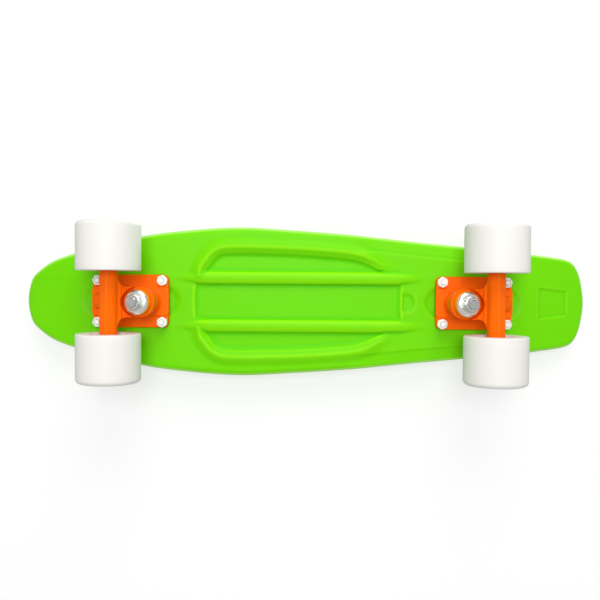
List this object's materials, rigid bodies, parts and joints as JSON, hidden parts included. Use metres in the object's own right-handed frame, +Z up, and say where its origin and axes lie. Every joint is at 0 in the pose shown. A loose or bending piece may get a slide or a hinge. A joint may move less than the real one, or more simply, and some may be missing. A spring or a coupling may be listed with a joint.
{
  "type": "skateboard",
  "caption": "Moulded plastic mini cruiser with a kicked tail and a ribbed underside, on two cast steering trucks with wide urethane wheels.",
  "frame": {"origin": "on the ground under the middle of the board, between the wheels, at the bottom centre of the bounding box", "axes": "+Z up as the board stands on its wheels, +X towards the rounded nose, +Y to the rider's left facing the nose"},
  "size_m": [0.5716, 0.151, 0.1087],
  "materials": {
    "deck_plastic": "satin moulded plastic, lime green",
    "truck_paint": "glossy orange paint on a casting",
    "bushing_urethane": "amber urethane",
    "pivot_urethane": "black urethane",
    "wheel_urethane": "smooth off-white urethane",
    "zinc_steel": "bright zinc plate",
    "bare_steel": "plain steel",
    "bearing_steel": "ground bearing steel with pressed shields"
  },
  "bodies": {
    "deck_assembly": {"deck": "deck_plastic", "front_baseplate": "truck_paint", "front_pivot_cup": "pivot_urethane", "front_kingpin": "zinc_steel", "front_kingpin_nut": "zinc_steel", "front_upper_bushing": "bushing_urethane", "front_lower_bushing": "bushing_urethane", "front_cup_washer": "zinc_steel", "front_mount_bolt_1": "zinc_steel", "front_mount_nut_1": "zinc_steel", "front_mount_bolt_2": "zinc_steel", "front_mount_nut_2": "zinc_steel", "front_mount_bolt_3": "zinc_steel", "front_mount_nut_3": "zinc_steel", "front_mount_bolt_4": "zinc_steel", "front_mount_nut_4": "zinc_steel", "rear_baseplate": "truck_paint", "rear_pivot_cup": "pivot_urethane", "rear_kingpin": "zinc_steel", "rear_kingpin_nut": "zinc_steel", "rear_upper_bushing": "bushing_urethane", "rear_lower_bushing": "bushing_urethane", "rear_cup_washer": "zinc_steel", "rear_mount_bolt_1": "zinc_steel", "rear_mount_nut_1": "zinc_steel", "rear_mount_bolt_2": "zinc_steel", "rear_mount_nut_2": "zinc_steel", "rear_mount_bolt_3": "zinc_steel", "rear_mount_nut_3": "zinc_steel", "rear_mount_bolt_4": "zinc_steel", "rear_mount_nut_4": "zinc_steel"},
    "front_hanger_assembly": {"front_hanger": "truck_paint", "front_axle": "bare_steel", "front_left_bearing_spacer": "bare_steel", "front_left_speed_washer": "zinc_steel", "front_left_axle_nut": "zinc_steel", "front_right_bearing_spacer": "bare_steel", "front_right_speed_washer": "zinc_steel", "front_right_axle_nut": "zinc_steel"},
    "front_left_wheel_assembly": {"front_left_wheel": "wheel_urethane", "front_left_inner_bearing": "bearing_steel", "front_left_outer_bearing": "bearing_steel"},
    "front_right_wheel_assembly": {"front_right_wheel": "wheel_urethane", "front_right_inner_bearing": "bearing_steel", "front_right_outer_bearing": "bearing_steel"},
    "rear_hanger_assembly": {"rear_hanger": "truck_paint", "rear_axle": "bare_steel", "rear_right_bearing_spacer": "bare_steel", "rear_right_speed_washer": "zinc_steel", "rear_right_axle_nut": "zinc_steel", "rear_left_bearing_spacer": "bare_steel", "rear_left_speed_washer": "zinc_steel", "rear_left_axle_nut": "zinc_steel"},
    "rear_right_wheel_assembly": {"rear_right_wheel": "wheel_urethane", "rear_right_inner_bearing": "bearing_steel", "rear_right_outer_bearing": "bearing_steel"},
    "rear_left_wheel_assembly": {"rear_left_wheel": "wheel_urethane", "rear_left_inner_bearing": "bearing_steel", "rear_left_outer_bearing": "bearing_steel"}
  },
  "joints": [
    {"name": "front_steering", "type": "hinge", "parent": "deck_assembly", "child": "front_hanger_assembly", "pos_m": [0.2058, 0, 0.0667], "axis": [0.8928, 0, 0.4505], "range_deg": [-11, 11], "stiffness_Nm_per_rad": 45, "deforming": ["front_upper_bushing", "front_lower_bushing"]},
    {"name": "front_left_spin", "type": "hinge", "parent": "front_hanger_assembly", "child": "front_left_wheel_assembly", "pos_m": [0.1883, 0.0525, 0.03], "axis": [0, 1, 0], "continuous": true},
    {"name": "front_right_spin", "type": "hinge", "parent": "front_hanger_assembly", "child": "front_right_wheel_assembly", "pos_m": [0.1883, -0.0525, 0.03], "axis": [0, 1, 0], "continuous": true},
    {"name": "rear_steering", "type": "hinge", "parent": "deck_assembly", "child": "rear_hanger_assembly", "pos_m": [-0.1922, 0, 0.0667], "axis": [-0.8928, 0, 0.4505], "range_deg": [-11, 11], "stiffness_Nm_per_rad": 45, "deforming": ["rear_upper_bushing", "rear_lower_bushing"]},
    {"name": "rear_right_spin", "type": "hinge", "parent": "rear_hanger_assembly", "child": "rear_right_wheel_assembly", "pos_m": [-0.1747, -0.0525, 0.03], "axis": [0, 1, 0], "continuous": true},
    {"name": "rear_left_spin", "type": "hinge", "parent": "rear_hanger_assembly", "child": "rear_left_wheel_assembly", "pos_m": [-0.1747, 0.0525, 0.03], "axis": [0, 1, 0], "continuous": true}
  ]
}
